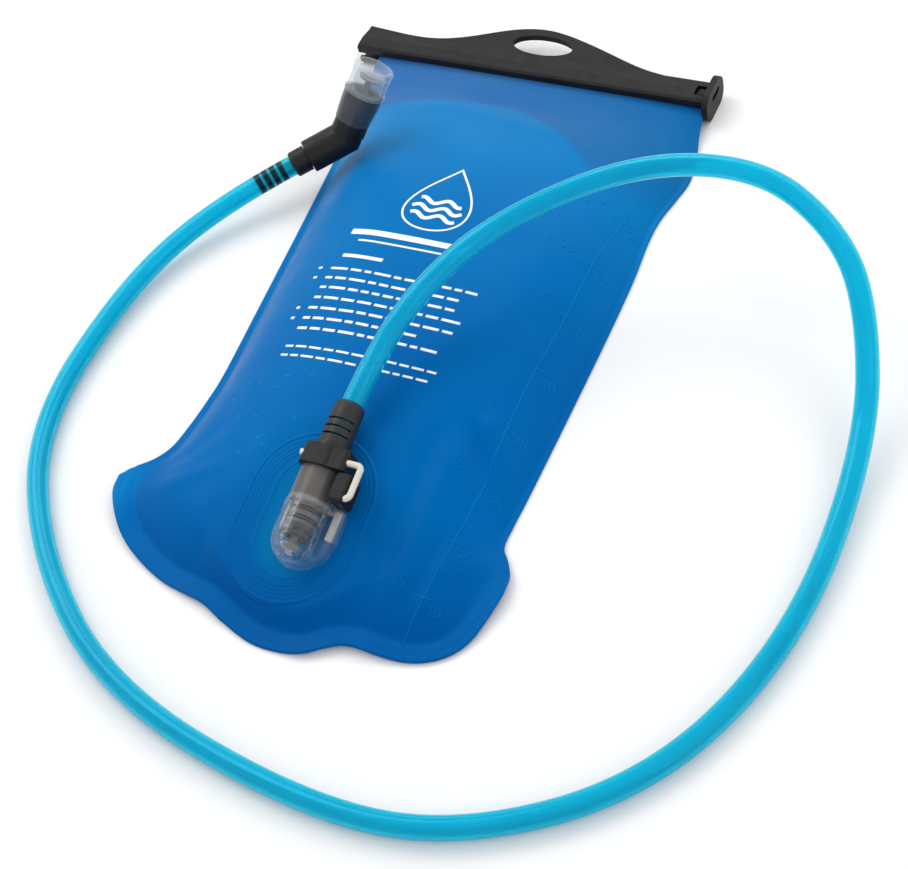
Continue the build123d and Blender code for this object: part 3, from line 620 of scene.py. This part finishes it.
def rim_lift(along_bottom, from_bottom):
    """How far the loose bottom weld waves up off the floor."""
    wave = profile([(0.0, 4.6), (0.06, 4.2), (0.14, 1.6), (0.26, 0.6), (0.36, 2.0), (0.45, 0.5),
                    (0.54, 0.2), (0.62, 2.4), (0.70, 2.8), (0.78, 0.8), (0.88, 1.0), (0.95, 2.6),
                    (1.0, 4.2)])
    return wave(along_bottom) * np.exp(-(from_bottom / 15.0) ** 1.5)


def flange_reach(x, y):
    """Distance from the port flange's middle line, in the flange's own plane."""
    along = (y - FLANGE_Y) / math.cos(PORT_TILT)
    return np.hypot(x - FLANGE_X, np.maximum(np.abs(along) - FLANGE_HALF, 0))


def flange_plane(y):
    """Height of the flange's top face, without its rings."""
    middle = FLANGE_MIDDLE_Z + FLANGE_THICK / 2 * math.cos(PORT_TILT)
    return middle + (y - FLANGE_Y) * math.tan(PORT_TILT)


def groove(x, y, line, width, depth):
    """A soft trough (or ridge, where depth is negative) along a line, fading at its ends."""
    gap, where = distance_to(x, y, np.array(line, float))
    return -depth * np.exp(-((gap / width) ** 2)) * smooth(where, 0, 0.25) * smooth(1 - where, 0, 0.25)


def front_height(x, y):
    """Top of the front film, and how far each point is from the bottom edge."""
    side_gap = np.minimum(distance_to(x, y, left_line)[0], distance_to(x, y, right_line)[0])
    bottom_gap, along_bottom = distance_to(x, y, bottom_line)
    weld = underside(y) + FILM_THICK + FILM_THICK
    from_side = np.clip(side_gap - SIDE_WELD, 0, None)
    from_bottom = np.clip(bottom_gap - BOTTOM_WELD, 0, None)
    arch = 1 - (1 - np.clip(from_side / SIDE_RISE, 0, 1)) ** 3.6
    pillow = (crest(y) - weld) * arch
    reach = flange_reach(x, y)
    free = smooth(reach, FLANGE_R, FLANGE_R + CALM)
    seat = flange_plane(y) - FILM_THICK - weld
    body = seat + (pillow - seat) * free
    ramp = RAMP_AT_PORT + RAMP_MORE * free
    rise = 1 - (1 - np.clip(from_bottom / ramp, 0, 1)) ** 2.2
    loose = np.clip(from_side / 20, 0, 1) * np.clip(from_bottom / 20, 0, 1) * free
    loose = loose * (1 - smooth(y, 118, 140))
    shape = 0.45 * waves(x, y, 62, 3) + 0.08 * waves(x * 1.6, y * 0.7, 24, 5)
    for line, width, depth in FOLDS:
        shape += groove(x, y, line, width, depth)
    height = weld + body * rise + shape * loose
    for place, deep in SEAL_LINES:
        height -= deep * np.exp(-(((bottom_gap - place) / SEAL_WIDE) ** 2))
    return height + rim_lift(along_bottom, bottom_gap), bottom_gap


def back_height(x, y):
    """Top of the back film."""
    bottom_gap, along_bottom = distance_to(x, y, bottom_line)
    return underside(y) + FILM_THICK + rim_lift(along_bottom, bottom_gap)


def bag_grid(across, up):
    """Points over the bag's outline, row by row from its bottom edge to the closure."""
    left = curve_through(LEFT_EDGE, up)
    right = curve_through(RIGHT_EDGE, up)
    bottom = curve_through(BOTTOM_EDGE, across)
    top = np.linspace(left[-1], right[-1], across)
    u = np.linspace(0, 1, across)[None, :, None]
    v = np.linspace(0, 1, up)[:, None, None]
    sides = (1 - u) * left[:, None] + u * right[:, None]
    ends = (1 - v) * bottom[None] + v * top[None]
    corners = (1 - v) * ((1 - u) * left[0] + u * right[0]) + v * ((1 - u) * left[-1] + u * right[-1])
    return sides + ends - corners


def film_shell(name, spots, upper, lower, material):
    """A closed film between two height fields over the same grid of points."""
    rows, columns = upper.shape
    top = np.dstack([spots, upper]).reshape(-1, 3)
    under = np.dstack([spots, lower]).reshape(-1, 3)
    count = rows * columns
    faces = grid_faces(rows, columns) + grid_faces(rows, columns, start=count, flip=True)
    rim = [(0, i) for i in range(columns)] + [(j, columns - 1) for j in range(1, rows)]
    rim += [(rows - 1, i) for i in range(columns - 2, -1, -1)] + [(j, 0) for j in range(rows - 2, 0, -1)]
    for (ja, ia), (jb, ib) in zip(rim, rim[1:] + rim[:1]):
        a, b = ja * columns + ia, jb * columns + ib
        faces.append((b, a, count + a, count + b))
    return mesh_piece(name, np.vstack([top, under]), faces, material)


# end of the doubled film under the closure
FOLD_EDGE = [(-88, 108), (-66, 112), (-43, 115), (-19, 118.5), (3, 116.5), (27, 105.5), (43, 92.5),
             (54, 77), (62, 60)]
FRONT_GRID = (190, 330)
BACK_GRID = (96, 166)


def make_front():
    spots = bag_grid(*FRONT_GRID)
    x, y = spots[..., 0], spots[..., 1]
    upper, bottom_gap = front_height(x, y)
    front = film_shell("bag_front", spots, upper, upper - FILM_THICK, FILM)
    fold_line = curve_through(FOLD_EDGE, 80)
    reach = distance_to(x, y, fold_line)[0]
    above = np.where(y > np.interp(x, fold_line[:, 0], fold_line[:, 1]), reach, -reach)
    fold = smooth(above, -1.2, 1.2) * smooth(y, 70, 100)
    # painted light: the bottom weld band and the left ear lighter, as if lit through the thin film
    rim = smooth(BOTTOM_WELD - bottom_gap, -2, 2) * 0.12
    rim += 0.5 * smooth(-x, 70, 84) * smooth(-y, 104, 116)
    attribute(front, "fold", np.tile(fold.ravel(), 2))
    attribute(front, "rim", np.tile(rim.ravel(), 2))
    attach(front, "bag")
    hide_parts("front_panel")
    return front


def make_back():
    spots = bag_grid(*BACK_GRID)
    upper = back_height(spots[..., 0], spots[..., 1])
    back = film_shell("bag_back", spots, upper, upper - FILM_THICK, FILM)
    attribute(back, "fold", np.zeros(2 * upper.size))
    attribute(back, "rim", np.zeros(2 * upper.size))
    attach(back, "bag")
    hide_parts("back_panel")


front = make_front()
make_back()

# the rolled mouth, in the slot
ROLLED_TURNS = 2.2
ROLLED_WIDE = 4.3
ROLLED_HIGH = 2.9
ROLLED_SHRINK = 0.36  # how much smaller each turn is
ROLLED_HALF_THICK = 0.45


def make_mouth():
    """Both films rolled over inside the closure: a flat spiral seen from its end."""
    low, high = (np.array(corner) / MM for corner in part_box("folded_mouth"))
    middle_y = CLOSURE_Y + CLOSURE_DEEP / 2
    path = [(low[1] - 0.2, SLOT_Z), (low[1] + 1.6, SLOT_Z)]
    for turn in np.linspace(0, ROLLED_TURNS, 90):
        angle = math.pi - 2 * math.pi * turn
        shrink = 1 - ROLLED_SHRINK * turn
        path.append((middle_y + ROLLED_WIDE * shrink * math.cos(angle),
                     SLOT_Z + ROLLED_HIGH * shrink * math.sin(angle)))
    path = curve_through(path, 140)
    side = np.gradient(path, axis=0)
    side /= np.linalg.norm(side, axis=1)[:, None]
    side = np.stack([-side[:, 1], side[:, 0]], axis=1)
    outline = np.vstack([path + side * ROLLED_HALF_THICK, (path - side * ROLLED_HALF_THICK)[::-1]])
    stations = np.linspace(low[0] + 0.4, high[0], 60)
    points = [(x, y, z + 0.12 * math.sin(x / 6.0)) for x in stations for y, z in outline]
    count = len(outline)
    faces = grid_faces(len(stations), count, wrap=True)
    for start, flip in ((0, False), ((len(stations) - 1) * count, True)):
        for k in range(len(path) - 1):
            face = (start + k, start + k + 1, start + count - 2 - k, start + count - 1 - k)
            faces.append(face[::-1] if flip else face)
    mouth = mesh_piece("rolled_mouth", points, faces, FILM)
    # the rolled films take the doubled film's colour, with its painted sheen streaks
    attribute(mouth, "fold", np.ones(len(points)))
    attribute(mouth, "rim", np.zeros(len(points)))
    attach(mouth, "bag")
    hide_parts("folded_mouth")


make_mouth()


# ---- port flange: welded patch with its rings ----------------------------------------------------
# distance from the flange's middle line, height, width
FLANGE_RIDGES = [(27.1, 0.28, 0.55), (24.9, 0.11, 0.40), (23.2, 0.10, 0.40), (21.5, 0.10, 0.40),
                 (19.8, 0.10, 0.40), (16.4, 0.16, 0.55)]
FLANGE_PAST = 0.4  # how far the patch reaches past its CAD outline, where its lip turns down
FLANGE_LIP = 0.55


def make_flange():
    rings = np.linspace(0, FLANGE_R + FLANGE_PAST, 118)
    turns = np.linspace(0, 2 * math.pi, 200, endpoint=False)
    points, inner = [], []
    for ring in rings:
        lift = sum(high * math.exp(-(((ring - place) / wide) ** 2)) for place, high, wide in FLANGE_RIDGES)
        lift -= FLANGE_LIP * float(smooth(ring, FLANGE_R - 1.2, FLANGE_R + FLANGE_PAST))
        for turn in turns:
            across, along = ring * math.cos(turn), ring * math.sin(turn)
            if abs(math.sin(turn)) > 1e-9:
                along += math.copysign(FLANGE_HALF, math.sin(turn))
            y = FLANGE_Y + along * math.cos(PORT_TILT)
            points.append((FLANGE_X + across, y - lift * math.sin(PORT_TILT), flange_plane(y) + lift))
            # share of the painted light round the port, fading outwards
            inner.append(0.9 - 0.9 * float(smooth(ring, 9.0, 20.5)))
    top = np.array(points)
    count = len(top)
    under = top - np.array([0, 0, FILM_THICK])
    faces = grid_faces(len(rings), len(turns), wrap=True)
    faces += grid_faces(len(rings), len(turns), start=count, wrap=True, flip=True)
    last = (len(rings) - 1) * len(turns)
    for k in range(len(turns)):
        n = (k + 1) % len(turns)
        faces.append((last + k, last + n, count + last + n, count + last + k)[::-1])
    patch = mesh_piece("weld_patch", np.vstack([top, under]), faces, FLANGE_FILM)
    attribute(patch, "inner", np.tile(inner, 2))
    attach(patch, "bag")
    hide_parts("port_flange")


make_flange()

# ---- what is printed and embossed on the front film ----------------------------------------------
bpy.context.view_layer.update()
film_tree = BVHTree.FromObject(front, bpy.context.evaluated_depsgraph_get())


def film_point(x, y, above):
    hit, normal, _, _ = film_tree.ray_cast(Vector((x * MM, y * MM, 0.1)), Vector((0, 0, -1)))
    return (np.array(hit) + np.array(normal) * above * MM) / MM


def ribbon(line, width, height, sunk=0.05, closed=False):
    """Points and faces of a low rounded ridge along a line on the film."""
    line = np.array(line, float)
    if closed:
        side = np.roll(line, -1, axis=0) - np.roll(line, 1, axis=0)
    else:
        side = np.gradient(line, axis=0)
    side /= np.linalg.norm(side, axis=1)[:, None]
    side = np.stack([-side[:, 1], side[:, 0]], axis=1)
    shoulder = height * 0.75
    section = [(-1.0, -sunk), (-0.8, shoulder), (0.0, height), (0.8, shoulder), (1.0, -sunk)]
    points = []
    for place, across in zip(line, side):
        for share, lift in section:
            x, y = place + across * share * width / 2
            points.append(film_point(x, y, lift))
    wide = len(section)
    count = len(line)
    faces = []
    for j in range(count if closed else count - 1):
        n = (j + 1) % count
        for i in range(wide):
            k = (i + 1) % wide
            faces.append((j * wide + i, j * wide + k, n * wide + k, n * wide + i)[::-1])
    if not closed:
        faces.append(tuple(range(wide)))
        faces.append(tuple((count - 1) * wide + i for i in reversed(range(wide))))
    return points, faces


def join(parts):
    points, faces = [], []
    for more_points, more_faces in parts:
        faces += [tuple(k + len(points) for k in face) for face in more_faces]
        points += list(more_points)
    return points, faces


def on_film(name, parts, material, lighter=0.0):
    """One piece that rides on the front film, made of many low ridges."""
    points, faces = join(parts)
    piece = mesh_piece(name, points, faces, material)
    # lighter is the share of the film's painted light on these ridges: a painted highlight
    if material is FILM:
        attribute(piece, "fold", np.zeros(len(points)))
        attribute(piece, "rim", np.full(len(points), lighter))
    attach(piece, "bag")


def line_points(start, end, step):
    start, end = np.array(start, float), np.array(end, float)
    count = max(2, int(np.linalg.norm(end - start) / step) + 1)
    return np.linspace(start, end, count)


def arc_points(centre, radius, first, last, count):
    turn = np.radians(np.linspace(first, last, count))
    return np.stack([centre[0] + radius * np.cos(turn), centre[1] + radius * np.sin(turn)], axis=1)


PRINT_UP = 0.07
PRINT_SUNK = 0.04
PRINT_SLANT = math.tan(math.radians(0.8))


def bar(x0, x1, y, tall):
    """One printed bar along a text line."""
    line = line_points((x0, y + x0 * PRINT_SLANT), (x1, y + x1 * PRINT_SLANT), 1.2)
    return ribbon(line, tall, PRINT_UP, PRINT_SUNK)


def bar_row(left, right, y, tall, shortest, longest, gap):
    """A printed row in place of a line of text: bars of uneven length."""
    parts = []
    x = left
    while x < right - shortest:
        end = min(x + rng.uniform(shortest, longest), right)
        parts.append(bar(x, end, y, tall))
        x = end + gap
    return parts


DROP_CENTRE = (-3.5, 45.5)


def drop_outline(size, count):
    """A water drop: round below, drawn up to a point."""
    turn = np.linspace(-math.pi / 2, 3 * math.pi / 2, count, endpoint=False)
    x = size * np.cos(turn) * (0.5 - 0.5 * np.sin(turn)) ** 0.62 * 1.2
    y = size * (np.sin(turn) * 1.18 + 0.1)
    return np.stack([DROP_CENTRE[0] + x, DROP_CENTRE[1] + y], axis=1)


def printed_mark():
    """A drop with three waves in it."""
    parts = [ribbon(drop_outline(17.5, 120), 1.1, PRINT_UP, PRINT_SUNK, closed=True)]
    for level in (-10.5, -5.5, -0.5):
        reach = 12.5 - abs(level + 6.5) * 0.35
        x = np.linspace(-reach, reach, 40)
        y = level + 1.5 * np.sin(x * 0.52)
        wave = np.stack([DROP_CENTRE[0] + x, DROP_CENTRE[1] + y], axis=1)
        parts.append(ribbon(wave, 2.3, PRINT_UP, PRINT_SUNK))
    return parts


TEXT_LEFT = -35
TEXT_ROWS = (-3.4, -9.0, -14.6, -20.4, -26.2, -31.8, -37.4)
TEXT_ENDS = (22, 30, 36, 37)
BULLET_ROWS = (-3.4, -9.0, -26.2, -31.8)


def make_print():
    parts = printed_mark()
    parts.append(bar(-36, 22, 19.6, 3.6))
    parts.append(bar(-30, 18, 14.4, 1.2))
    parts.append(bar(-33, -13, 4.6, 2.2))
    for row in TEXT_ROWS:
        right = rng.choice(TEXT_ENDS)
        parts += bar_row(TEXT_LEFT, right, row, 1.5, 3.0, 9.0, 1.5)
    for row in BULLET_ROWS:
        parts.append(bar(-41.5, -39.6, row, 1.5))
    parts += bar_row(-36, 36, -47.2, 1.2, 2.6, 7.5, 1.3)
    parts += bar_row(-36, 37, -52.0, 1.2, 2.6, 7.5, 1.3)
    on_film("front_print", parts, INK)


make_print()

# strokes of the digits in a cell 1 wide and 2 high
DIGITS = {
    "0": [[(0, 0.4), (0, 1.6), (0.5, 2), (1, 1.6), (1, 0.4), (0.5, 0), (0, 0.4)]],
    "1": [[(0.2, 1.5), (0.6, 2), (0.6, 0)]],
    "2": [[(0, 1.6), (0.5, 2), (1, 1.6), (1, 1.2), (0, 0), (1, 0)]],
    "3": [[(0, 1.8), (0.6, 2), (1, 1.5), (0.5, 1.1), (1, 0.6), (0.6, 0), (0, 0.2)]],
    "4": [[(0.8, 0), (0.8, 2), (0, 0.6), (1, 0.6)]],
    "5": [[(1, 2), (0.1, 2), (0, 1.1), (0.6, 1.2), (1, 0.8), (0.9, 0.2), (0.4, 0), (0, 0.2)]],
    "6": [[(0.9, 1.9), (0.4, 1.7), (0, 0.9), (0.1, 0.2), (0.6, 0), (1, 0.4), (0.8, 1), (0.1, 0.9)]],
    "7": [[(0, 2), (1, 2), (0.4, 0)]],
    "8": [[(0.5, 1.1), (0.1, 1.5), (0.5, 2), (0.9, 1.5), (0.5, 1.1), (0, 0.5), (0.5, 0), (1, 0.5),
           (0.5, 1.1)]],
    "9": [[(0.1, 0.1), (0.7, 0.5), (1, 1.3), (0.7, 2), (0.1, 1.7), (0.2, 1.1), (0.9, 1.1)]],
    ".": [[(0.35, 0), (0.65, 0.1)]],
}
DIGIT_PITCH = 1.5
STROKE_WIDE = 0.62
STROKE_UP = 0.17
SCALE_UP = 0.15
# height on the bag, number on the left, number on the right
SCALE_STEPS = [(66.0, "2.0", "70"), (35.0, "1.75", "60"), (5.0, "1.5", "50"), (-25.0, "1.25", "40"),
               (-55.0, "1.0", "35"), (-84.0, "0.75", "25"), (-112.0, "0.5", "15"), (-138.0, "0.25", "10")]
SCALE_ROOM = 74  # right of this there is no room for the second number


def number(text, x, y, size):
    """Embossed digits that read from the closure's side."""
    parts = []
    for place, digit in enumerate(text):
        for stroke in DIGITS[digit]:
            line = [(x + (place * DIGIT_PITCH + a) * size, y + b * size) for a, b in stroke]
            parts.append(ribbon(curve_through(line, 4 * len(line)), STROKE_WIDE, STROKE_UP))
    return parts


def make_scale():
    """Fill scale: a line down the bag, with a tick and a number on each side at every step."""
    middle = [(66.5, -158), (69.5, -120), (71.0, -88), (70.0, -40), (70.8, 0), (71.0, 42), (74.0, 78)]
    line = curve_through(middle, 150)
    parts = [ribbon(line, 0.75, SCALE_UP)]
    for y, litres, ounces in SCALE_STEPS:
        x = float(np.interp(y, line[:, 1], line[:, 0]))
        parts.append(ribbon(line_points((x - 4.5, y), (x + 4.5, y), 1.0), 0.7, SCALE_UP))
        parts += number(litres, x - 8.0 - 3.1 * len(litres), y + 1.0, 2.1)
        if x < SCALE_ROOM:
            parts += number(ounces, x + 3.4, y - 6.0, 1.9)
    # the scale's ridges carry a little of the painted light: a faint painted highlight
    on_film("embossed_scale", parts, FILM, 0.25)


make_scale()


# small crescent marks left of the port: middle, and the direction in which each begins
CRESCENTS = [(-31.6, -99.7, 200), (-26.6, -91.8, 240), (-22.1, -94.9, 200), (-15.0, -82.0, 300),
             (-32.4, -82.6, 230), (-30.2, -68.2, 250), (-26.5, -62.0, 210), (-43.5, -66.3, 190),
             (-38.4, -66.6, 220), (-48.7, -74.0, 200), (-16.4, -59.9, 260), (-40.0, -84.0, 150)]
CRESCENT_TURN = 110


def make_crescents():
    parts = []
    for x, y, start in CRESCENTS:
        arc = arc_points((x, y), rng.uniform(1.3, 2.1), start, start + CRESCENT_TURN, 10)
        parts.append(ribbon(arc, 0.6, 0.16))
    # the marks carry the painted light at full strength: painted highlights on the arcs
    on_film("film_marks", parts, FILM, 2.2)


make_crescents()

# ---- finishes of the CAD nodes that stay ---------------------------------------------------------
FINISHES = {
    "closure_channel": CLOSURE_BLACK,
    "end_stop": CLOSURE_BLACK,
    "port_body": CLEAR,
    "port_collar": MOULDED_BLACK,
    "lock_fork": NATURAL,
    "latch_clip": NATURAL,
    "port_seat": SEAL_BLACK,
    "port_poppet": VALVE_GREY,
    "valve_spring": STEEL,
    "release_button": MOULDED_BLACK,
    "hose_plug": PLUG,
    "plug_oring_rear": SEAL_BLACK,
    "plug_oring_front": SEAL_BLACK,
    "hose_relief": RELIEF_BLACK,
    "upper_barb": MOULDED_BLACK,
    "swivel_oring": SEAL_BLACK,
    "swivel_elbow": MOULDED_BLACK,
    "valve_stem": STEM_GREY,
    "mouthpiece": SILICONE,
}
for node, finish in FINISHES.items():
    nodes[node].data.materials.clear()
    nodes[node].data.materials.append(finish)


# ---- floor, light --------------------------------------------------------------------------------
FLOOR_HALF = 4000
FLOOR_Z = -0.1
WORLD_STRENGTH = 0.86
# name, place, size, power
LIGHTS = [
    ("key_left", (-0.9, 0.35, 1.3), (0.9, 0.9), 6.5),
    ("top_back", (0.1, 1.1, 1.2), (1.4, 0.6), 5.5),
    ("fill_right", (1.3, -0.3, 1.0), (0.8, 0.8), 2),
]
LIGHT_AIM = (0.02, -0.03, 0.0)


def add_floor():
    shader = Shader("floor_pale")
    clouds = shader.spread(shader.noise(6.0, 2.0), 0.0, 1.0)
    tone = shader.blend(clouds, (0.90, 0.90, 0.90), (0.92, 0.92, 0.92))
    shader.link(tone, shader.body.inputs["Base Color"])
    shader.set(Roughness=0.9, Specular_IOR_Level=0.1)
    corners = [(x * FLOOR_HALF, y * FLOOR_HALF, FLOOR_Z) for x, y in ((-1, -1), (1, -1), (1, 1), (-1, 1))]
    floor = mesh_piece("floor", corners, [(0, 1, 2, 3)], shader.material, False)


def add_light(name, place, size, power):
    data = bpy.data.lights.new(name, "AREA")
    data.shape = "RECTANGLE"
    data.size, data.size_y = size
    data.energy = power
    light = bpy.data.objects.new(name, data)
    light.location = place
    light.rotation_euler = (Vector(LIGHT_AIM) - Vector(place)).to_track_quat("-Z", "Y").to_euler()
    bpy.context.scene.collection.objects.link(light)


def add_world():
    world = bpy.data.worlds.new("studio")
    world.use_nodes = True
    background = world.node_tree.nodes["Background"]
    background.inputs["Color"].default_value = (1, 1, 1, 1)
    background.inputs["Strength"].default_value = WORLD_STRENGTH
    bpy.context.scene.world = world


add_floor()
add_world()
for light_name, light_place, light_size, light_power in LIGHTS:
    add_light(light_name, light_place, light_size, light_power)
bpy.context.scene.view_settings.view_transform = "Standard"
